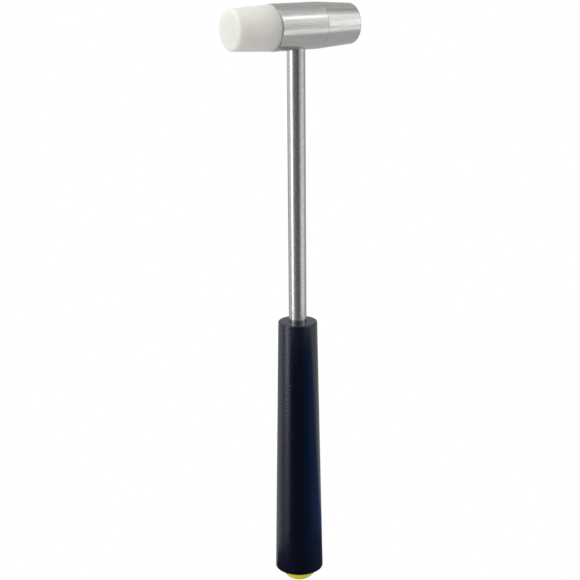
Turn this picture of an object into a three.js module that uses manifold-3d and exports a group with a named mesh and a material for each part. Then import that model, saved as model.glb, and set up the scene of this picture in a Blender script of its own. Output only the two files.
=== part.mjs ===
// Double head craft hammer: a steel head with one nylon and one steel face, both of which screw
// off, on a steel shaft with a two-part handle. Millimetres, +Z up along the shaft, nylon face
// towards -X, steel face towards +X. The origin is on the shaft's axis at the middle of the grip.
import * as THREE from 'three';
import { mergeVertices } from 'three/addons/utils/BufferGeometryUtils.js';
import Module from 'manifold-3d';

const wasm = await Module();
wasm.setup();

// Driving dimensions: head
const headDiameter = 19.9;
const headHeight = 253.7; // head axis above the grip's lower rim
const nylonSeatReach = 12.9; // shaft axis to the end of the head body under the nylon face
const steelSeatReach = 10.4; // shaft axis to the end of the head body under the steel face
const bodyEdgeRound = 0.25;

// Driving dimensions: faces
const nylonFaceLength = 20.5;
const nylonFaceTaper = 1.1; // radius lost from back to front
const nylonFaceStep = 0.15; // nylon's radius at the seam is this much under the steel's
const nylonFrontRound = 1.4;
const nylonBackRound = 0.8;
const steelFaceLength = 18.1;
const steelFaceTaper = 1.15;
const steelFrontRound = 0.6;
const steelBackRound = 0.1;

// Driving dimensions: studs, which are M6 set screws
const studDiameter = 6;
const studGrip = 9; // length of stud inside a face
const studChamfer = 0.6;
const studKeyAcrossFlats = 3;
const studKeyDepth = 3.5;
const tappedHoleRunOut = 1; // hole left past the stud's end
const tappedHoleMouth = 0.5; // chamfer at each mouth
const drillPointAngle = THREE.MathUtils.degToRad(118);

// Driving dimensions: shaft
const shaftDiameter = 8;
const shaftRise = 5; // top end above the head axis
const shaftFloor = 14; // bottom end above the grip's lower rim
const shaftChamfer = 0.5;
const shaftFlatDepth = 0.5; // flats that the studs clamp
const shaftFlatMargin = 0.6; // flats run on past the stud by this

// Driving dimensions: handle
const gripLength = 122.4;
const gripTopDiameter = 17.7;
const gripBottomDiameter = 22.4;
const gripTopRound = 0.6;
const gripBottomRound = 0.3;
const sleeveWall = 2.75; // at the lower rim
const sleeveTopWall = 3;
const coreWall = 1.75; // around the shaft at the core's top
const domeHeight = 7;

// Clearances
const nylonSeamGap = 0.1;
const steelSeamGap = 0.1;
const threadGap = 0.2;
const shaftGap = 0.15;
const studSeatGap = 0.3;
const sleeveGap = 0.2;

// Fineness of the round forms
const wideSides = 60;
const slimSides = 30;
const roundSteps = 3;
const domeSteps = 8;
const mergeDistance = 1e-4; // vertices nearer than this are one

// Radii that several pieces share
const headRadius = headDiameter / 2;
const studRadius = studDiameter / 2;
const tappedRadius = studRadius + threadGap;
const shaftRadius = shaftDiameter / 2;
const shaftBoreRadius = shaftRadius + shaftGap;
const studSeatReach = shaftRadius - shaftFlatDepth + studSeatGap;
const gripTopRadius = gripTopDiameter / 2;
const gripBottomRadius = gripBottomDiameter / 2;
const coreTopRadius = shaftBoreRadius + coreWall;
const coreBottomRadius = gripBottomRadius - sleeveWall - sleeveGap;
const coreTop = gripLength - sleeveTopWall - sleeveGap;

// Depth of the cone that a drill leaves at the end of a blind hole
function drillPoint(radius) {
  return radius / Math.tan(drillPointAngle / 2);
}

// Lathe points from corners given as [radius, height, round]. A corner with a round becomes an arc.
function profile(corners) {
  const places = corners.map(([radius, height]) => new THREE.Vector2(radius, height));
  const points = [];
  corners.forEach(([, , round = 0], index) => {
    const corner = places[index];
    if (round === 0) {
      points.push(corner);
      return;
    }
    const back = places[index - 1].clone().sub(corner).normalize();
    const on = places[index + 1].clone().sub(corner).normalize();
    const halfAngle = Math.acos(back.dot(on)) / 2;
    const middle = back.clone().add(on).normalize();
    const centre = corner.clone().addScaledVector(middle, round / Math.sin(halfAngle));
    const start = corner.clone().addScaledVector(back, round / Math.tan(halfAngle)).sub(centre);
    const turn = (Math.PI - 2 * halfAngle) * -Math.sign(back.cross(on));
    for (let step = 0; step <= roundSteps; step += 1) {
      const spoke = start.clone().rotateAround(new THREE.Vector2(), (turn * step) / roundSteps);
      points.push(spoke.add(centre));
    }
  });
  return points;
}

// A three.js geometry as a manifold solid: shared vertices merged, empty triangles at the axis dropped
function toSolid(geometry) {
  const bare = geometry.clone();
  bare.deleteAttribute('normal');
  bare.deleteAttribute('uv');
  const merged = mergeVertices(bare, mergeDistance);
  const corners = merged.index.array;
  const triVerts = [];
  for (let i = 0; i < corners.length; i += 3) {
    const [a, b, c] = corners.slice(i, i + 3);
    if (a !== b && b !== c && c !== a) triVerts.push(a, b, c);
  }
  const vertProperties = merged.attributes.position.array;
  const mesh = new wasm.Mesh({ numProp: 3, vertProperties, triVerts: new Uint32Array(triVerts) });
  return new wasm.Manifold(mesh);
}

// One geometry with others cut away from it
function cutAway(geometry, cutters) {
  let solid = toSolid(geometry);
  for (const cutter of cutters) solid = solid.subtract(toSolid(cutter));
  const { vertProperties, triVerts } = solid.getMesh();
  const result = new THREE.BufferGeometry();
  result.setAttribute('position', new THREE.BufferAttribute(vertProperties, 3));
  result.setIndex(new THREE.BufferAttribute(triVerts, 1));
  result.computeVertexNormals();
  return result;
}

function piece(name, geometry, color, roughness, metalness) {
  const material = new THREE.MeshStandardMaterial({ color, roughness, metalness });
  const mesh = new THREE.Mesh(geometry, material);
  mesh.name = name;
  return mesh;
}

// Head body: a bar tapped right through along its axis, cross-drilled from below for the shaft.
// Its lathe axis runs from the nylon end to the steel end, and the shaft comes in along local +X.
function headBody() {
  const mouthRadius = tappedRadius + tappedHoleMouth;
  const bar = new THREE.LatheGeometry(profile([
    [mouthRadius, -nylonSeatReach],
    [headRadius, -nylonSeatReach, bodyEdgeRound],
    [headRadius, steelSeatReach, bodyEdgeRound],
    [mouthRadius, steelSeatReach],
    [tappedRadius, steelSeatReach - tappedHoleMouth],
    [tappedRadius, -nylonSeatReach + tappedHoleMouth],
    [mouthRadius, -nylonSeatReach],
  ]), wideSides);
  const boreEnd = shaftRise + shaftGap;
  const shaftBore = new THREE.LatheGeometry(profile([
    [0, -headDiameter],
    [shaftBoreRadius, -headDiameter],
    [shaftBoreRadius, boreEnd],
    [0, boreEnd + drillPoint(shaftBoreRadius)],
  ]), slimSides);
  shaftBore.rotateZ(Math.PI / 2);
  return piece('head_body', cutAway(bar, [shaftBore]), 0xc6c5c3, 0.24, 1);
}

// A face: a short tapered plug with a flat front and a blind tapped hole in its back. Its lathe
// axis points out of the head, with zero at the end of the head body.
function strikingFace(seamGap, length, backRadius, taper, backRound, frontRound) {
  const front = seamGap + length;
  const holeEnd = studGrip + tappedHoleRunOut;
  return new THREE.LatheGeometry(profile([
    [0, holeEnd + drillPoint(tappedRadius)],
    [tappedRadius, holeEnd],
    [tappedRadius, seamGap + tappedHoleMouth],
    [tappedRadius + tappedHoleMouth, seamGap],
    [backRadius, seamGap, backRound],
    [backRadius - taper, front, frontRound],
    [0, front],
  ]), wideSides);
}

function nylonFace() {
  const backRadius = headRadius - nylonFaceStep;
  const geometry = strikingFace(
    nylonSeamGap, nylonFaceLength, backRadius, nylonFaceTaper, nylonBackRound, nylonFrontRound);
  return piece('nylon_face', geometry, 0xefece6, 0.45, 0);
}

function steelFace() {
  const geometry = strikingFace(
    steelSeamGap, steelFaceLength, headRadius, steelFaceTaper, steelBackRound, steelFrontRound);
  return piece('steel_face', geometry, 0xc6c5c3, 0.24, 1);
}

// A stud: a set screw from the shaft's flat, through the head body and into a face, with a
// hexagon key socket in its outer end
function stud(name, seatReach) {
  const inner = studSeatReach - seatReach;
  const screw = new THREE.LatheGeometry(profile([
    [0, inner],
    [studRadius - studChamfer, inner],
    [studRadius, inner + studChamfer],
    [studRadius, studGrip - studChamfer],
    [studRadius - studChamfer, studGrip],
    [0, studGrip],
  ]), slimSides);
  const keyRadius = studKeyAcrossFlats / Math.sqrt(3);
  const key = new THREE.CylinderGeometry(keyRadius, keyRadius, 2 * studKeyDepth, 6);
  key.translate(0, studGrip, 0);
  return piece(name, cutAway(screw, [key]), 0x8b8c8e, 0.38, 1);
}

// Shaft: a plain rod with chamfered ends, and two flats at its top for the studs to clamp
function shaft() {
  const top = headHeight + shaftRise;
  const rod = new THREE.LatheGeometry(profile([
    [0, shaftFloor],
    [shaftRadius - shaftChamfer, shaftFloor],
    [shaftRadius, shaftFloor + shaftChamfer],
    [shaftRadius, top - shaftChamfer],
    [shaftRadius - shaftChamfer, top],
    [0, top],
  ]), slimSides);
  const flatFoot = headHeight - studRadius - shaftFlatMargin;
  const flatHeight = 2 * (top - flatFoot);
  const flats = [-1, 1].map((side) => {
    const cutter = new THREE.BoxGeometry(shaftDiameter, flatHeight, 2 * shaftDiameter);
    const reach = 2 * shaftRadius - shaftFlatDepth;
    return cutter.translate(side * reach, flatFoot + flatHeight / 2, 0);
  });
  return piece('shaft', cutAway(rod, flats), 0xd2d2d1, 0.12, 1);
}

// Handle core: hard plastic round the lower shaft, with a domed butt below the sleeve
function handleCore() {
  const dome = new THREE.EllipseCurve(0, 0, coreBottomRadius, domeHeight, -Math.PI / 2, 0);
  const boreFloor = shaftFloor - shaftGap;
  const upper = profile([
    [coreTopRadius, coreTop],
    [shaftBoreRadius, coreTop],
    [shaftBoreRadius, boreFloor],
    [0, boreFloor],
  ]);
  const domePoints = dome.getPoints(domeSteps);
  domePoints[0].x = 0;
  const geometry = new THREE.LatheGeometry([...domePoints, ...upper], wideSides);
  return piece('handle_core', geometry, 0xc3b31c, 0.35, 0);
}

// Grip sleeve: soft tapered cover, closed round the shaft at its top and open below
function gripSleeve() {
  const geometry = new THREE.LatheGeometry(profile([
    [coreBottomRadius + sleeveGap, 0],
    [gripBottomRadius, 0, gripBottomRound],
    [gripTopRadius, gripLength, gripTopRound],
    [shaftBoreRadius, gripLength],
    [shaftBoreRadius, gripLength - sleeveTopWall],
    [coreTopRadius + sleeveGap, gripLength - sleeveTopWall],
    [coreBottomRadius + sleeveGap, 0],
  ]), wideSides);
  return piece('grip_sleeve', geometry, 0x141a26, 0.6, 0);
}

// A group at one end of the head body, with local +Y pointing out of the head
function headEnd(turn, reach) {
  const end = new THREE.Group();
  end.rotation.z = turn;
  end.position.x = -Math.sin(turn) * reach;
  return end;
}

const towardsNylon = Math.PI / 2;
const towardsSteel = -Math.PI / 2;

const body = headBody();
body.rotation.z = towardsSteel;

const nylonEnd = headEnd(towardsNylon, nylonSeatReach);
nylonEnd.add(stud('nylon_face_stud', nylonSeatReach), nylonFace());

const steelEnd = headEnd(towardsSteel, steelSeatReach);
steelEnd.add(stud('steel_face_stud', steelSeatReach), steelFace());

const head = new THREE.Group();
head.position.y = headHeight;
head.add(body, nylonEnd, steelEnd);

// Local +Y runs up the shaft from the grip's lower rim
const hammer = new THREE.Group();
hammer.rotation.x = Math.PI / 2;
hammer.position.z = -gripLength / 2;
hammer.add(shaft(), handleCore(), gripSleeve(), head);

const part = new THREE.Group();
part.add(hammer);

export default part;
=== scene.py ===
import math

import bmesh
import bpy
from mathutils import Matrix, Vector, noise


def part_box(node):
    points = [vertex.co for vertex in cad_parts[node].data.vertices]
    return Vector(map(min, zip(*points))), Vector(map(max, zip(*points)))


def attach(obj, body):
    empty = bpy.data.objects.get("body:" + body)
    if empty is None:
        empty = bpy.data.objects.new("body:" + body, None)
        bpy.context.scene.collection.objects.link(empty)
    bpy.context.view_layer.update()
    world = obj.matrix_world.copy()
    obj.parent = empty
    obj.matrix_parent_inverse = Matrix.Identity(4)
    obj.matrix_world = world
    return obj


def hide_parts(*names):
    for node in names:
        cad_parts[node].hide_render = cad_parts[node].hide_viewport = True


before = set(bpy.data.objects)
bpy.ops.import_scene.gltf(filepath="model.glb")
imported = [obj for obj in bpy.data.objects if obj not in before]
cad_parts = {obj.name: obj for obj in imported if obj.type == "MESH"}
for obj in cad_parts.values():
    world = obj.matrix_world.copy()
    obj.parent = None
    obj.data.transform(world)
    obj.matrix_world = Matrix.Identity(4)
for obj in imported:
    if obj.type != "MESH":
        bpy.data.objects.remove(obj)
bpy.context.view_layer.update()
scene = bpy.context.scene
mm = 0.001  # sizes below are in millimetres, the scene is in metres
print("frame loaded:", ", ".join(sorted(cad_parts)))


# Places taken from the frame

def nodeBox(node):
    low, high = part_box(node)
    return low / mm, high / mm


def nodeReach(node):
    # radius round the shaft's axis, in mm
    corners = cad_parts[node].data.vertices
    return max(math.hypot(corner.co.x, corner.co.y) for corner in corners) / mm


headLow, headHigh = nodeBox("head_body")
shaftLow, shaftHigh = nodeBox("shaft")
gripLow, gripHigh = nodeBox("grip_sleeve")
coreLow, coreHigh = nodeBox("handle_core")
headZ = (headLow.z + headHigh.z) / 2  # height of the head's axis
headRadius = (headHigh.z - headLow.z) / 2
shaftRadius = nodeReach("shaft")
gripRadius = nodeReach("grip_sleeve")  # at the lower rim
coreRadius = nodeReach("handle_core")  # where the core comes out of the sleeve


# Round forms

drillHalfAngle = math.radians(59)  # half the point angle of a twist drill


def alongHead(along, radius, angle):
    return Vector((along, radius * math.sin(angle), headZ + radius * math.cos(angle)))


def alongShaft(along, radius, angle):
    return Vector((radius * math.cos(angle), radius * math.sin(angle), along))


def roundedOutline(corners, steps=8, hold=0.03):
    # corners are (along, radius, round): a round turns into an arc with a holding ring on each side
    outline = []
    for index, (along, radius, edge) in enumerate(corners):
        here = Vector((along, radius))
        if edge == 0:
            outline.append(here)
            continue
        back = (Vector(corners[index - 1][:2]) - here).normalized()
        onward = (Vector(corners[index + 1][:2]) - here).normalized()
        halfAngle = back.angle(onward) / 2
        reach = edge / math.tan(halfAngle)
        centre = here + (back + onward).normalized() * (edge / math.sin(halfAngle))
        spoke = here + back * reach - centre
        sweep = spoke.angle_signed(here + onward * reach - centre)
        outline.append(here + back * (reach + hold))
        for step in range(steps + 1):
            turned = Matrix.Rotation(-sweep * step / steps, 2) @ spoke
            outline.append(centre + turned)
        outline.append(here + onward * (reach + hold))
    return outline


def ringsBetween(start, end, count):
    # evenly spaced points between two outline corners, without the corners
    first = Vector(start)
    last = Vector(end)
    return [first.lerp(last, step / (count + 1)) for step in range(1, count + 1)]


def fineSides(outline, longest):
    # adds rings so that no side of the outline is longer than this
    finer = []
    for here, onward in zip(outline, outline[1:]):
        finer.append(here)
        finer += ringsBetween(here, onward, int((Vector(onward) - Vector(here)).length / longest))
    return finer + outline[-1:]


def revolve(name, outline, place, segments, adjust=None, closed=False):
    # outline is (along, radius) in mm; place turns along, radius and angle into a point
    bm = bmesh.new()
    rings = []
    for along, radius in outline:
        if radius == 0:
            rings.append([bm.verts.new(place(along, 0, 0) * mm)] * segments)  # a pole
            continue
        ring = []
        for step in range(segments):
            angle = 2 * math.pi * step / segments
            reach = adjust(along, radius, angle) if adjust else radius
            ring.append(bm.verts.new(place(along, reach, angle) * mm))
        rings.append(ring)
    following = rings[1:] + (rings[:1] if closed else [])
    for low, high in zip(rings, following):
        for step in range(segments):
            beside = (step + 1) % segments
            corners = [low[step], low[beside], high[beside], high[step]]
            corners = list(dict.fromkeys(corners))
            if len(corners) > 2:
                bm.faces.new(corners)
    bmesh.ops.recalc_face_normals(bm, faces=bm.faces)
    mesh = bpy.data.meshes.new(name)
    bm.to_mesh(mesh)
    bm.free()
    piece = bpy.data.objects.new(name, mesh)
    scene.collection.objects.link(piece)
    return piece


def cutAway(piece, cutter):
    change = piece.modifiers.new("cut", "BOOLEAN")
    change.object = cutter
    change.solver = "EXACT"
    depsgraph = bpy.context.evaluated_depsgraph_get()
    uncut = piece.data
    piece.data = bpy.data.meshes.new_from_object(piece.evaluated_get(depsgraph))
    piece.modifiers.clear()
    bpy.data.meshes.remove(uncut)
    bpy.data.objects.remove(cutter)


def dress(piece, finish, node, body, sharpAngle=32):
    # smooth shading, finish, and the piece's place in the frame
    piece.data.shade_smooth()
    piece.data.set_sharp_from_angle(angle=math.radians(sharpAngle))
    piece.data.materials.clear()
    piece.data.materials.append(finish)
    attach(piece, body)
    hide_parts(node)
    print("made", piece.name, "with", len(piece.data.polygons), "faces")


# Screw thread shared by studs and tapped holes

thread = {
    "pitch": 1.0,
    "depth": 0.55,
    "crestFlat": 0.16,  # share of the pitch left flat at the crest
    "rootFlat": 0.2,
    "rowsPerTurn": 10,
    "segments": 48,
}


def threadCut(along, angle):
    # 0 on the crest of the thread, 1 in its root
    phase = (along / thread["pitch"] + angle / (2 * math.pi)) % 1
    ramp = abs(2 * phase - 1)
    flank = 1 - thread["crestFlat"] - thread["rootFlat"]
    return min(max((ramp - thread["crestFlat"]) / flank, 0), 1)


def threadRows(start, end, radius):
    # close rows of outline points that a thread is cut into
    count = max(2, round(abs(end - start) / thread["pitch"] * thread["rowsPerTurn"]))
    return ringsBetween((start, radius), (end, radius), count)


# Shader building blocks

noiseLow = 0.3  # most noise lies between these two
noiseHigh = 0.7


def newFinish(name):
    finish = bpy.data.materials.new(name)
    finish.use_nodes = True
    finish.node_tree.nodes.clear()
    output = finish.node_tree.nodes.new("ShaderNodeOutputMaterial")
    shader = finish.node_tree.nodes.new("ShaderNodeBsdfPrincipled")
    finish.node_tree.links.new(shader.outputs["BSDF"], output.inputs["Surface"])
    return finish, shader


def setInputs(tree, node, inputs):
    # links a socket, and sets anything else on the node itself
    for name, value in inputs.items():
        if isinstance(value, bpy.types.NodeSocket):
            tree.links.new(value, node.inputs[name])
        else:
            node.inputs[name].default_value = value


def addNode(tree, kind, settings=None, inputs=None):
    node = tree.nodes.new(kind)
    for name, value in (settings or {}).items():
        setattr(node, name, value)
    setInputs(tree, node, inputs or {})
    return node


def objectPlace(tree):
    return addNode(tree, "ShaderNodeTexCoord").outputs["Object"]


def stretched(tree, place, scale):
    mapping = addNode(tree, "ShaderNodeMapping", None, {"Vector": place, "Scale": scale})
    return mapping.outputs["Vector"]


def grain(tree, place, size, detail=3.0, roughness=0.55):
    # noise whose blobs are about size mm across
    inputs = {"Vector": place, "Scale": 1 / (size * mm), "Detail": detail, "Roughness": roughness}
    return addNode(tree, "ShaderNodeTexNoise", None, inputs).outputs["Fac"]


def spread(tree, value, low, high, fromLow=noiseLow, fromHigh=noiseHigh):
    inputs = {"Value": value, "From Min": fromLow, "From Max": fromHigh, "To Min": low, "To Max": high}
    return addNode(tree, "ShaderNodeMapRange", None, inputs).outputs["Result"]


def tones(tree, value, dark, light):
    ramp = addNode(tree, "ShaderNodeValToRGB", None, {"Fac": value})
    ramp.color_ramp.elements[0].position = noiseLow
    ramp.color_ramp.elements[0].color = (*dark, 1)
    ramp.color_ramp.elements[1].position = noiseHigh
    ramp.color_ramp.elements[1].color = (*light, 1)
    return ramp.outputs["Color"]


def bump(tree, height, depth, under=None):
    # depth is the height of the relief in mm
    inputs = {"Height": height, "Distance": depth * mm, "Strength": 1.0}
    if under:
        inputs["Normal"] = under
    return addNode(tree, "ShaderNodeBump", None, inputs).outputs["Normal"]


def turningMarks(tree, place, axisZ, lean, width, detail=4.0, roughness=0.7):
    # 1D noise along the cut of a lathe tool: runs along the side, then in across the front
    apart = addNode(tree, "ShaderNodeSeparateXYZ", None, {"Vector": place})
    inputs = {0: apart.outputs["Z"], 1: axisZ * mm}
    rise = addNode(tree, "ShaderNodeMath", {"operation": "SUBTRACT"}, inputs)
    flat = addNode(tree, "ShaderNodeCombineXYZ", None, {"X": apart.outputs["Y"], "Y": rise.outputs[0]})
    radius = addNode(tree, "ShaderNodeVectorMath", {"operation": "LENGTH"}, {0: flat.outputs[0]})
    inputs = {0: radius.outputs["Value"], 1: lean, 2: apart.outputs["X"]}
    path = addNode(tree, "ShaderNodeMath", {"operation": "MULTIPLY_ADD"}, inputs)
    inputs = {"W": path.outputs[0], "Scale": 1 / (width * mm), "Detail": detail, "Roughness": roughness}
    return addNode(tree, "ShaderNodeTexNoise", {"noise_dimensions": "1D"}, inputs).outputs["Fac"]


def roundTangent(tree, axis):
    # direction round an axis, for gloss that is drawn out by turning or drawing
    settings = {"direction_type": "RADIAL", "axis": axis}
    return addNode(tree, "ShaderNodeTangent", settings).outputs[0]


# Head body: steel bar, tapped through and cross-drilled for the shaft

headBody = {
    "nylonEdgeRound": 0.25,
    "steelEdgeRound": 0.06,
    "tappedRadius": 3.2,
    "mouth": 0.5,  # chamfer at each end of the tapped hole
    "boreGap": 0.15,  # between shaft and bore
    "boreLip": 0.25,  # deburred rim where the shaft goes in
    "boreSegments": 96,
    "segments": 192,
}

steelValues = {
    "dark": (0.53, 0.523, 0.508),
    "light": (0.66, 0.652, 0.636),
    "roughLow": 0.21,
    "roughHigh": 0.29,
    "anisotropy": 0.6,
    "glossTurn": 0.25,  # in whole turns: gloss is drawn out across the marks
    "markWidth": 0.16,
    "markDepth": 0.0008,
    "streakSize": 0.5,
    "streakStretch": (0.07, 1, 1),
    "waveSize": 4.0,
    "waveStretch": (0.5, 1, 1),
    "waveDepth": 0.006,
}


def turnedSteelFinish(name, lean, values):
    # bright turned bar: fine lathe marks round the axis, so gloss is drawn out along it
    finish, shader = newFinish(name)
    tree = finish.node_tree
    place = objectPlace(tree)
    marks = turningMarks(tree, place, headZ, lean, values["markWidth"])
    cloud = grain(tree, stretched(tree, place, values["waveStretch"]), values["waveSize"], 2.0)
    drawnOut = stretched(tree, place, values["streakStretch"])
    streaks = grain(tree, drawnOut, values["streakSize"], 3.0, 0.6)
    waves = bump(tree, cloud, values["waveDepth"])
    setInputs(tree, shader, {
        "Base Color": tones(tree, streaks, values["dark"], values["light"]),
        "Metallic": 1.0,
        "Roughness": spread(tree, marks, values["roughLow"], values["roughHigh"]),
        "Anisotropic": values["anisotropy"],
        "Anisotropic Rotation": values["glossTurn"],
        "Tangent": roundTangent(tree, "X"),
        "Normal": bump(tree, marks, values["markDepth"], waves),
    })
    return finish


def makeHeadBody():
    values = headBody
    left = headLow.x
    right = headHigh.x
    mouthRadius = values["tappedRadius"] + values["mouth"]
    outline = roundedOutline([
        (left, mouthRadius, 0),
        (left, headRadius, values["nylonEdgeRound"]),
        (right, headRadius, values["steelEdgeRound"]),
        (right, mouthRadius, 0),
        (right - values["mouth"], values["tappedRadius"], 0),
        (left + values["mouth"], values["tappedRadius"], 0),
    ])
    piece = revolve("headBodyBar", outline, alongHead, values["segments"], closed=True)
    boreRadius = shaftRadius + values["boreGap"]
    boreTop = shaftHigh.z + values["boreGap"]
    drillPoint = boreRadius / math.tan(drillHalfAngle)
    rimZ = headZ - math.sqrt(headRadius ** 2 - boreRadius ** 2)
    cutter = revolve("shaftBore", [
        (headZ - 2 * headRadius, 0),
        (headZ - 2 * headRadius, boreRadius + values["boreLip"]),
        (headZ - headRadius - values["boreLip"], boreRadius + values["boreLip"]),
        (rimZ, boreRadius),
        (boreTop, boreRadius),
        (boreTop + drillPoint, 0),
    ], alongShaft, values["boreSegments"])
    cutAway(piece, cutter)
    finish = turnedSteelFinish("turnedSteelBar", 1, steelValues)
    dress(piece, finish, "head_body", "handle")


# Striking faces: short tapered plugs with a blind tapped hole in the back

nylonFace = {
    "seat": 0.0,  # how far the back is set towards the head bar, closing the seam
    "step": 0.15,  # radius at the seam under the head bar's
    "taper": 1.1,  # radius lost from back to front
    "frontRound": 1.4,
    "backRound": 0.45,
    "holeDepth": 9.9,
    "segments": 160,
}

steelFace = {
    "seat": 0.05,
    "step": 0.0,
    "taper": 1.15,
    "frontRound": 0.6,
    "backRound": 0.06,
    "holeDepth": 9.9,
    "segments": 192,
}

tappedHole = {
    "crestRadius": 3.06,  # clears the stud's crests, so the two threads don't engage
    "grooveDepth": 0.3,
    "mouth": 0.5,
}

nylonValues = {
    "dark": (0.80, 0.785, 0.735),
    "light": (0.835, 0.825, 0.785),
    "paintedSeamShade": 0.85,  # painted shade, greyer towards the seam as in the photograph; what shades it there isn't known
    "shadeReach": 9.0,
    "roughLow": 0.42,
    "roughHigh": 0.56,
    "markWidth": 0.3,
    "markDepth": 0.002,
    "cloudSize": 4.0,
    "ior": 1.53,
    "glowDepth": 5.0,  # how far light wanders inside, in mm
    "glowSpread": (1.0, 0.9, 0.68),  # share of that depth for red, green and blue
}


def nylonFinish(name, lean, values):
    # natural nylon: milky, light passes under the skin, faint turning marks, painted shade towards the seam
    finish, shader = newFinish(name)
    tree = finish.node_tree
    place = objectPlace(tree)
    marks = turningMarks(tree, place, headZ, lean, values["markWidth"])
    cloud = grain(tree, place, values["cloudSize"], 3.0)
    along = addNode(tree, "ShaderNodeSeparateXYZ", None, {"Vector": place}).outputs["X"]
    seam = headLow.x * mm
    # painted shade: the base colour is scaled down over the last shadeReach mm before the seam
    shade = spread(tree, along, 1, values["paintedSeamShade"], seam - values["shadeReach"] * mm, seam)
    milky = tones(tree, cloud, values["dark"], values["light"])
    shaded = addNode(tree, "ShaderNodeVectorMath", {"operation": "SCALE"}, {0: milky, "Scale": shade})
    setInputs(tree, shader, {
        "Base Color": shaded.outputs[0],
        "Roughness": spread(tree, marks, values["roughLow"], values["roughHigh"]),
        "IOR": values["ior"],
        "Subsurface Weight": 1.0,
        "Subsurface Radius": values["glowSpread"],
        "Subsurface Scale": values["glowDepth"] * mm,
        "Normal": bump(tree, marks, values["markDepth"]),
    })
    return finish


def strikingFace(name, node, outward, values):
    # outward is -1 towards the nylon end and 1 towards the steel end
    low, high = nodeBox(node)
    back = (high.x if outward < 0 else low.x) - outward * values["seat"]
    front = low.x if outward < 0 else high.x
    backRadius = headRadius - values["step"]
    holeEnd = back + outward * values["holeDepth"]
    crest = tappedHole["crestRadius"]
    mouth = tappedHole["mouth"]
    drillPoint = crest / math.tan(drillHalfAngle)
    outline = [Vector((holeEnd + outward * drillPoint, 0)), Vector((holeEnd, crest))]
    outline += threadRows(holeEnd, back + outward * mouth, crest)
    outline += roundedOutline([
        (back + outward * mouth, crest, 0),
        (back, crest + mouth, 0),
        (back, backRadius, values["backRound"]),
        (front, backRadius - values["taper"], values["frontRound"]),
        (front, 0, 0),
    ])

    def tapped(along, radius, angle):
        inHole = radius <= crest and min(abs(along - back), abs(along - holeEnd)) > mouth
        return radius + tappedHole["grooveDepth"] * threadCut(along, angle) if inHole else radius

    return revolve(name, outline, alongHead, values["segments"], tapped)


def makeFaces():
    nylon = strikingFace("nylonStrikingFace", "nylon_face", -1, nylonFace)
    finish = nylonFinish("naturalNylon", -1, nylonValues)
    dress(nylon, finish, "nylon_face", "nylon_end")
    steel = strikingFace("steelStrikingFace", "steel_face", 1, steelFace)
    finish = turnedSteelFinish("turnedSteelFace", 1, steelValues)
    dress(steel, finish, "steel_face", "steel_end")


# Studs: set screws with a hexagon key socket in the outer end

stud = {
    "chamfer": 0.6,
    "keyAcrossFlats": 3.0,
    "keyDepth": 3.5,
    "keySides": 6,
    "sharpAngle": 25,
}

studValues = {
    "dark": (0.16, 0.16, 0.165),
    "light": (0.3, 0.3, 0.305),
    "roughLow": 0.28,
    "roughHigh": 0.42,
    "blotchSize": 0.6,
    "pitSize": 0.15,
    "pitDepth": 0.004,
}


def studFinish(name, values):
    # plain screw steel, lightly oiled and uneven
    finish, shader = newFinish(name)
    tree = finish.node_tree
    place = objectPlace(tree)
    blotch = grain(tree, place, values["blotchSize"], 4.0)
    setInputs(tree, shader, {
        "Base Color": tones(tree, blotch, values["dark"], values["light"]),
        "Metallic": 1.0,
        "Roughness": spread(tree, blotch, values["roughLow"], values["roughHigh"]),
        "Normal": bump(tree, grain(tree, place, values["pitSize"], 3.0), values["pitDepth"]),
    })
    return finish


def makeStud(name, node, body, outward, finish):
    low, high = nodeBox(node)
    inner = high.x if outward < 0 else low.x
    outer = low.x if outward < 0 else high.x
    radius = (high.z - low.z) / 2
    tip = radius - stud["chamfer"]
    outline = [Vector((inner, 0)), Vector((inner, tip))]
    outline += threadRows(inner, outer, radius)
    outline += [Vector((outer, tip)), Vector((outer, 0))]

    def cutThread(along, reach, angle):
        if reach != radius:
            return reach
        endLimit = tip + min(abs(along - inner), abs(along - outer))
        return min(reach - thread["depth"] * threadCut(along, angle), endLimit)

    piece = revolve(name, outline, alongHead, thread["segments"], cutThread)
    keyRadius = stud["keyAcrossFlats"] / math.sqrt(3)
    floor = outer - outward * stud["keyDepth"]
    key = revolve(name + "Key", [
        (floor - outward * keyRadius / 2, 0),
        (floor, keyRadius),
        (outer + outward, keyRadius),
        (outer + outward, 0),
    ], alongHead, stud["keySides"])
    cutAway(piece, key)
    dress(piece, finish, node, body, stud["sharpAngle"])


def makeStuds():
    finish = studFinish("screwSteel", studValues)
    makeStud("nylonFaceScrew", "nylon_face_stud", "nylon_stud", -1, finish)
    makeStud("steelFaceScrew", "steel_face_stud", "steel_stud", 1, finish)


# Shaft: bright rod with chamfered ends and two flats at the top

shaftRod = {
    "chamfer": 0.5,
    "flatDepth": 0.5,
    "flatFoot": 3.6,  # flats start this far under the head's axis
    "flatStep": 0.01,  # height of the step where they start
    "ringSpacing": 4.0,
    "segments": 128,
}

rodValues = {
    "dark": (0.46, 0.457, 0.45),
    "light": (0.58, 0.576, 0.568),
    "mottleSize": 1.4,
    "mottleStretch": (1, 1, 0.7),
    "roughLow": 0.19,
    "roughHigh": 0.27,
    "hazeSize": 0.8,
    "anisotropy": 0.6,
    "waveSize": 1.6,
    "waveStretch": (1, 1, 0.3),
    "waveDepth": 0.008,
    "lineSize": 0.12,
    "lineStretch": (1, 1, 0.04),
    "lineDepth": 0.0006,
}


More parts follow.
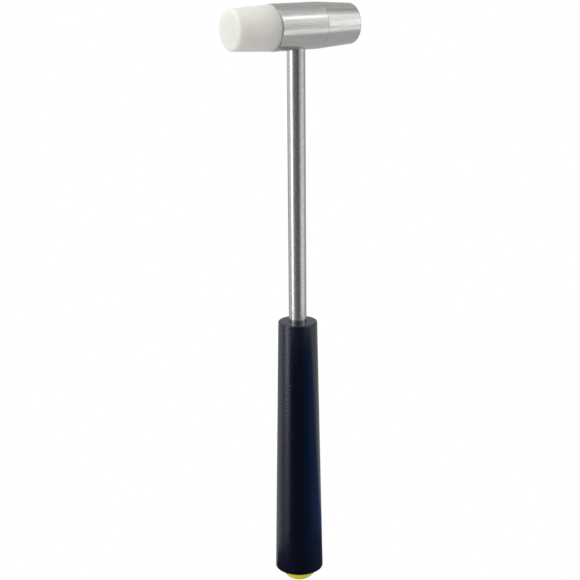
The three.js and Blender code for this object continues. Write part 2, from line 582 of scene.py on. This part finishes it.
def rodFinish(name, values):
    # drawn bright rod: mirror bands that wander a little along the length
    finish, shader = newFinish(name)
    tree = finish.node_tree
    place = objectPlace(tree)
    waves = grain(tree, stretched(tree, place, values["waveStretch"]), values["waveSize"], 2.0)
    lines = grain(tree, stretched(tree, place, values["lineStretch"]), values["lineSize"], 2.0)
    mottle = grain(tree, stretched(tree, place, values["mottleStretch"]), values["mottleSize"], 3.0, 0.65)
    haze = grain(tree, place, values["hazeSize"], 4.0)
    setInputs(tree, shader, {
        "Base Color": tones(tree, mottle, values["dark"], values["light"]),
        "Metallic": 1.0,
        "Roughness": spread(tree, haze, values["roughLow"], values["roughHigh"]),
        "Anisotropic": values["anisotropy"],
        "Tangent": roundTangent(tree, "Z"),
        "Normal": bump(tree, lines, values["lineDepth"], bump(tree, waves, values["waveDepth"])),
    })
    return finish


def makeShaft():
    values = shaftRod
    foot = shaftLow.z
    top = shaftHigh.z
    tip = shaftRadius - values["chamfer"]
    flatFoot = headZ - values["flatFoot"]
    flatReach = shaftRadius - values["flatDepth"]
    outline = fineSides([
        (foot, 0),
        (foot, tip),
        (foot + values["chamfer"], shaftRadius),
        (flatFoot, shaftRadius),
        (flatFoot + values["flatStep"], shaftRadius),
        (top - values["chamfer"], shaftRadius),
        (top, tip),
        (top, 0),
    ], values["ringSpacing"])

    def flatten(along, radius, angle):
        across = abs(math.cos(angle))
        if along <= flatFoot or radius * across <= flatReach:
            return radius
        return flatReach / across

    piece = revolve("shaftRod", outline, alongShaft, values["segments"], flatten)
    dress(piece, rodFinish("brightRod", rodValues), "shaft", "handle")


# Handle: hard core with a domed butt, and the soft tapered sleeve over it

handleCore = {
    "topRadius": 5.9,
    "boreGap": 0.15,
    "domeRings": 24,
    "ringSpacing": 6.0,
    "segments": 128,
}

coreValues = {
    "dark": (0.90, 0.815, 0.022),
    "light": (0.98, 0.90, 0.04),
    "roughLow": 0.2,
    "roughHigh": 0.32,
    "hazeSize": 0.5,
    "flowSize": 3.0,
    "flowStretch": (1, 1, 0.4),
    "dentSize": 1.2,
    "dentDepth": 0.004,
    "ior": 1.4,
    "glow": 0.15,  # share of light that passes under the skin
    "glowDepth": 0.8,
    "glowSpread": (1.0, 0.8, 0.2),
}


def coreFinish(name, values):
    # moulded yellow plastic, glossy with a trace of flow and fine dust marks
    finish, shader = newFinish(name)
    tree = finish.node_tree
    place = objectPlace(tree)
    flow = grain(tree, stretched(tree, place, values["flowStretch"]), values["flowSize"], 3.0)
    haze = grain(tree, place, values["hazeSize"], 4.0)
    dents = grain(tree, place, values["dentSize"], 2.0)
    setInputs(tree, shader, {
        "Base Color": tones(tree, flow, values["dark"], values["light"]),
        "Roughness": spread(tree, haze, values["roughLow"], values["roughHigh"]),
        "IOR": values["ior"],
        "Subsurface Weight": values["glow"],
        "Subsurface Radius": values["glowSpread"],
        "Subsurface Scale": values["glowDepth"] * mm,
        "Normal": bump(tree, dents, values["dentDepth"]),
    })
    return finish


def makeHandleCore():
    values = handleCore
    domeHeight = gripLow.z - coreLow.z
    rim = gripLow.z
    outline = [Vector((coreLow.z, 0))]
    for step in range(1, values["domeRings"] + 1):
        angle = math.pi / 2 * step / values["domeRings"]
        outline.append(Vector((rim - domeHeight * math.cos(angle), coreRadius * math.sin(angle))))
    bore = shaftRadius + values["boreGap"]
    boreFloor = shaftLow.z - values["boreGap"]
    outline += [(coreHigh.z, values["topRadius"]), (coreHigh.z, bore), (boreFloor, bore), (boreFloor, 0)]
    outline = fineSides(outline, values["ringSpacing"])
    piece = revolve("handleCoreButt", outline, alongShaft, values["segments"])
    dress(piece, coreFinish("yellowPlastic", coreValues), "handle_core", "handle")


gripSleeve = {
    "topRadius": 8.85,
    "topRound": 0.6,
    "rimRound": 0.3,
    "topWall": 3.0,
    "shaftGap": 0.15,
    "coreGap": 0.2,
    "ringSpacing": 1.2,
    "wave": 0.025,  # moulded unevenness, in mm
    "waveSize": 14.0,
    "segments": 144,
    "sharpAngle": 40,
}

gripValues = {
    "dark": (0.0001, 0.0012, 0.010),
    "light": (0.0004, 0.0024, 0.016),
    "roughLow": 0.22,
    "roughHigh": 0.32,
    "grainSize": 0.9,
    "grainDepth": 0.038,
    "grainSoftness": 0.6,
    "fineSize": 0.3,
    "fineDepth": 0.006,
    "cloudSize": 6.0,
    "cloudStretch": (1, 1, 0.4),
    "ior": 1.6,
    "glossTint": (0.85, 0.9, 1.0, 1),
    "sheen": 0.05,
    "sheenTint": (0.25, 0.55, 1.0, 1),
    "sheenRough": 0.4,
}


def gripFinish(name, values):
    # dark blue-black moulded grip with a fine pebbled grain
    finish, shader = newFinish(name)
    tree = finish.node_tree
    place = objectPlace(tree)
    cells = addNode(tree, "ShaderNodeTexVoronoi", {"feature": "SMOOTH_F1"}, {
        "Vector": place,
        "Scale": 1 / (values["grainSize"] * mm),
        "Smoothness": values["grainSoftness"],
    }).outputs["Distance"]
    fine = grain(tree, place, values["fineSize"], 3.0)
    cloud = grain(tree, stretched(tree, place, values["cloudStretch"]), values["cloudSize"], 3.0)
    setInputs(tree, shader, {
        "Base Color": tones(tree, cloud, values["dark"], values["light"]),
        "Roughness": spread(tree, fine, values["roughLow"], values["roughHigh"]),
        "IOR": values["ior"],
        "Specular Tint": values["glossTint"],
        "Sheen Weight": values["sheen"],
        "Sheen Roughness": values["sheenRough"],
        "Sheen Tint": values["sheenTint"],
        "Normal": bump(tree, fine, values["fineDepth"], bump(tree, cells, values["grainDepth"])),
    })
    return finish


def makeGripSleeve():
    values = gripSleeve
    foot = gripLow.z
    top = gripHigh.z
    shaftBore = shaftRadius + values["shaftGap"]
    coreBore = coreRadius + values["coreGap"]
    coreTop = handleCore["topRadius"] + values["coreGap"]
    under = top - values["topWall"]
    corners = [
        (foot, coreBore, 0),
        (foot, gripRadius, values["rimRound"]),
        (top, values["topRadius"], values["topRound"]),
        (top, shaftBore, 0),
        (under, shaftBore, 0),
        (under, coreTop, 0),
    ]
    outline = fineSides(roundedOutline(corners), values["ringSpacing"])

    def uneven(along, radius, angle):
        spot = Vector((math.cos(angle), math.sin(angle), along / values["waveSize"]))
        side = gripRadius + (values["topRadius"] - gripRadius) * (along - foot) / (top - foot)
        outside = radius > side - values["topRound"]
        return radius + values["wave"] * noise.noise(spot) if outside else radius

    piece = revolve("gripSleeveSoft", outline, alongShaft, values["segments"], uneven, closed=True)
    finish = gripFinish("darkGrip", gripValues)
    dress(piece, finish, "grip_sleeve", "handle", values["sharpAngle"])


# Studio: white floor, soft panels round the object, camera as the photograph has it

black = (0, 0, 0, 1)
white = (1, 1, 1, 1)

floorValues = {"size": 40.0, "cells": 8, "glow": 1.0}  # size in metres, glow for the backdrop too

panels = {
    # azimuth and elevation as seen from a point at this height (mm) on the shaft, sizes in metres
    "leftPanel": {
        "azimuth": -99, "elevation": 18, "height": 76, "distance": 1.1,
        "size": (0.46, 1.65), "glow": 3.1, "colour": (0.94, 0.975, 1.0),
    },
    "rightPanel": {
        "azimuth": 54, "elevation": 7.5, "height": 76, "distance": 1.1,
        "size": (0.5, 1.05), "glow": 0.5, "colour": (1.0, 0.99, 0.97),
    },
    "faceStrip": {
        "azimuth": 52, "elevation": 5.5, "height": 192, "distance": 1.0,
        "size": (0.35, 0.3), "glow": 0.95, "colour": (1.0, 0.99, 0.97),
    },
    "frontTopPanel": {
        "azimuth": 41, "elevation": 38.5, "height": 192, "distance": 1.1,
        "size": (0.42, 0.22), "glow": 1.3, "colour": (1.0, 1.0, 0.985),
    },
}

glossGlow = 0.55  # what gloss sees of the room between the panels
glossPatches = {
    # soft round patches of the room: full inside inner, gone past outer, in degrees
    "topHaze": {"azimuth": 52, "elevation": 46, "inner": 8, "outer": 36, "glow": 0.9},
    "leftWall": {"azimuth": -138, "elevation": -6, "inner": 12, "outer": 26, "glow": 0.92},
    "backGlow": {"azimuth": -168, "elevation": 6, "inner": 10, "outer": 18, "glow": 1.4},
    "backShade": {"azimuth": 160, "elevation": -6, "inner": 12, "outer": 22, "glow": 0.2},
    "cameraShade": {"azimuth": -30, "elevation": -4, "inner": 30, "outer": 38, "glow": 0.15},
    "shadeHaze": {"azimuth": -54, "elevation": -4, "inner": 6, "outer": 24, "glow": 0.23},
    "rightGrey": {"azimuth": 19, "elevation": -8, "inner": 10, "outer": 16, "glow": 0.7},
    "leftLow": {"azimuth": -125, "elevation": -30, "inner": 8, "outer": 20, "glow": 0.35},
    "lowHaze": {"azimuth": 33, "elevation": -18, "inner": 6, "outer": 15, "glow": 1.22},
    "endShade": {"azimuth": 89, "elevation": 41, "inner": 4, "outer": 12, "glow": 0.15},
    "topSkirt": {"azimuth": 42, "elevation": 26, "inner": 5, "outer": 18, "glow": 0.95},
}

fillGlow = 0.65  # even light on matt surfaces
fillPatches = {
    "ceiling": {"azimuth": 0, "elevation": 80, "inner": 20, "outer": 70, "glow": 1.05},
    "right": {"azimuth": 50, "elevation": 20, "inner": 10, "outer": 40, "glow": 1.0},
    "left": {"azimuth": -100, "elevation": 0, "inner": 20, "outer": 60, "glow": 0.72},
    "under": {"azimuth": 0, "elevation": -85, "inner": 20, "outer": 60, "glow": 1.0},
    "front": {"azimuth": -34, "elevation": -15, "inner": 20, "outer": 70, "glow": 0.35},
}

cardLift = 1  # mm above the floor
cards = {
    # painted reflections: dark and blue glowing sheets round the grip that only gloss sees, shaped to match
    # the photograph
    # each rim point is azimuth, reach from the shaft's axis and height of the turned-up rim, in mm
    "darkCard": {
        "colour": (0.05, 0.05, 0.05, 1), "baseColour": (0.05, 0.05, 0.05, 1),
        "rim": [(-150, 45, 0), (-110, 50, 0), (-92, 60, 0), (-80, 60, 0), (-76, 60, 105), (-55, 60, 105),
                (-35, 60, 105), (-20, 60, 105), (-8, 60, 105)],
    },
    "blueCard": {
        "colour": (0.02, 0.10, 0.22, 1), "baseColour": (0.04, 0.06, 0.09, 1),
        "rim": [(-8, 60, 105), (8, 60, 110), (24, 60, 114)],
    },
    "paleCard": {
        "colour": (0.09, 0.18, 0.4, 1), "baseColour": (0.06, 0.085, 0.13, 1),
        "rim": [(24, 60, 114), (34, 60, 114), (45, 60, 106), (56, 60, 84), (75, 60, 42), (92, 58, 18),
                (115, 55, 8), (140, 50, 0)],
    },
}

cameraValues = {
    "azimuth": -34.04,
    "elevation": 16.0,
    "roll": -0.47,
    "distance": 572.95,
    "lens": 78.84,
    "sensor": 36,
    "clipStart": 0.01,  # metres, as the next
    "clipEnd": 100,
    "aimHeight": 75.8,
    "aimSide": -3.41,
}


def towards(azimuth, elevation):
    turn = math.radians(azimuth)
    rise = math.radians(elevation)
    return Vector((math.sin(turn) * math.cos(rise), -math.cos(turn) * math.cos(rise), math.sin(rise)))


def makeFloor():
    bm = bmesh.new()
    cells = floorValues["cells"]
    bmesh.ops.create_grid(bm, x_segments=cells, y_segments=cells, size=floorValues["size"] / 2)
    mesh = bpy.data.meshes.new("floor")
    bm.to_mesh(mesh)
    bm.free()
    floor = bpy.data.objects.new("floor", mesh)
    scene.collection.objects.link(floor)
    floor.location.z = coreLow.z * mm
    finish, shader = newFinish("paleFloor")
    tree = finish.node_tree
    setInputs(tree, shader, {
        "Base Color": black,
        "Specular IOR Level": 0.0,
        "Emission Color": white,
        "Emission Strength": floorValues["glow"],
    })
    clear = addNode(tree, "ShaderNodeBsdfTransparent")
    under = addNode(tree, "ShaderNodeNewGeometry").outputs["Backfacing"]
    mix = addNode(tree, "ShaderNodeMixShader", None, {0: under, 1: shader.outputs[0], 2: clear.outputs[0]})
    output = next(node for node in tree.nodes if node.type == "OUTPUT_MATERIAL")
    tree.links.new(mix.outputs[0], output.inputs["Surface"])
    mesh.materials.append(finish)
    floor.visible_diffuse = False
    floor.visible_glossy = False


# a sheet that glows only in gloss, giving painted reflections on the grip
def makeCard(name, values):
    bm = bmesh.new()
    foot = Vector((0, 0, coreLow.z + cardLift))
    low = [foot + towards(azimuth, 0) * reach for azimuth, reach, rise in values["rim"]]
    high = [corner + Vector((0, 0, rim[2])) for corner, rim in zip(low, values["rim"])]
    base = bm.faces.new([bm.verts.new(corner * mm) for corner in [foot] + low])
    base.material_index = 1
    for step in range(len(low) - 1):
        corners = [low[step], low[step + 1], high[step + 1], high[step]]
        bm.faces.new([bm.verts.new(corner * mm) for corner in corners])
    mesh = bpy.data.meshes.new(name)
    bm.to_mesh(mesh)
    bm.free()
    card = bpy.data.objects.new(name, mesh)
    scene.collection.objects.link(card)
    for part in ("colour", "baseColour"):
        finish, shader = newFinish(name + part.capitalize())
        setInputs(finish.node_tree, shader, {
            "Base Color": black,
            "Specular IOR Level": 0.0,
            "Emission Color": values[part],
            "Emission Strength": 1.0,
        })
        mesh.materials.append(finish)
    card.visible_camera = False
    card.visible_diffuse = False
    card.visible_shadow = False


def makePanel(name, values):
    light = bpy.data.lights.new(name, "AREA")
    light.shape = "RECTANGLE"
    light.size, light.size_y = values["size"]
    light.color = values["colour"]
    light.energy = values["glow"] * math.pi * light.size * light.size_y
    panel = bpy.data.objects.new(name, light)
    scene.collection.objects.link(panel)
    outward = towards(values["azimuth"], values["elevation"])
    panel.location = Vector((0, 0, values["height"] * mm)) + outward * values["distance"]
    panel.rotation_euler = outward.to_track_quat("Z", "Y").to_euler()
    panel.visible_camera = False


def patchedGlow(tree, direction, glow, patches):
    # brightness of the room by direction
    brightness = glow
    for values in patches.values():
        way = towards(values["azimuth"], values["elevation"])
        facing = addNode(tree, "ShaderNodeVectorMath", {"operation": "DOT_PRODUCT"}, {0: direction, 1: way})
        inner = math.cos(math.radians(values["inner"]))
        outer = math.cos(math.radians(values["outer"]))
        share = spread(tree, facing.outputs["Value"], 0, 1, outer, inner)
        mix = addNode(tree, "ShaderNodeMix", None, {0: share, 2: brightness, 3: values["glow"]})
        brightness = mix.outputs[0]
    return brightness


def makeRoom():
    world = bpy.data.worlds.new("studio")
    scene.world = world
    world.use_nodes = True
    tree = world.node_tree
    tree.nodes.clear()
    direction = addNode(tree, "ShaderNodeTexCoord").outputs["Generated"]
    gloss = patchedGlow(tree, direction, glossGlow, glossPatches)
    fill = patchedGlow(tree, direction, fillGlow, fillPatches)
    rays = addNode(tree, "ShaderNodeLightPath").outputs
    glow = addNode(tree, "ShaderNodeMix", None, {0: rays["Is Diffuse Ray"], 2: gloss, 3: fill})
    room = addNode(tree, "ShaderNodeBackground", None, {"Color": white, "Strength": glow.outputs[0]})
    inputs = {"Color": white, "Strength": floorValues["glow"]}
    backdrop = addNode(tree, "ShaderNodeBackground", None, inputs)
    inputs = {0: rays["Is Camera Ray"], 1: room.outputs[0], 2: backdrop.outputs[0]}
    mix = addNode(tree, "ShaderNodeMixShader", None, inputs)
    addNode(tree, "ShaderNodeOutputWorld", None, {"Surface": mix.outputs[0]})


def makeCamera():
    values = cameraValues
    back = towards(values["azimuth"], values["elevation"])
    turn = math.radians(values["azimuth"])
    right = Vector((math.cos(turn), math.sin(turn), 0))
    up = back.cross(right)
    roll = math.radians(values["roll"])
    across = right * math.cos(roll) + up * math.sin(roll)
    upright = up * math.cos(roll) - right * math.sin(roll)
    aim = Vector((0, 0, values["aimHeight"])) + right * values["aimSide"]
    place = (aim + back * values["distance"]) * mm
    lens = bpy.data.cameras.new("productCamera")
    lens.lens = values["lens"]
    lens.sensor_width = values["sensor"]
    lens.clip_start = values["clipStart"]
    lens.clip_end = values["clipEnd"]
    camera = bpy.data.objects.new("productCamera", lens)
    scene.collection.objects.link(camera)
    turned = Matrix((across, upright, back)).transposed()
    camera.matrix_world = Matrix.Translation(place) @ turned.to_4x4()
    scene.camera = camera


def setColours():
    scene.view_settings.view_transform = "Standard"
    scene.view_settings.look = "None"
    scene.view_settings.exposure = 0
    scene.view_settings.gamma = 1


makeHeadBody()
makeFaces()
makeStuds()
makeShaft()
makeHandleCore()
makeGripSleeve()
print("hammer done")

makeFloor()
for cardName, cardValues in cards.items():
    makeCard(cardName, cardValues)
for panelName, panelValues in panels.items():
    makePanel(panelName, panelValues)
makeRoom()
makeCamera()
setColours()
print("studio done")
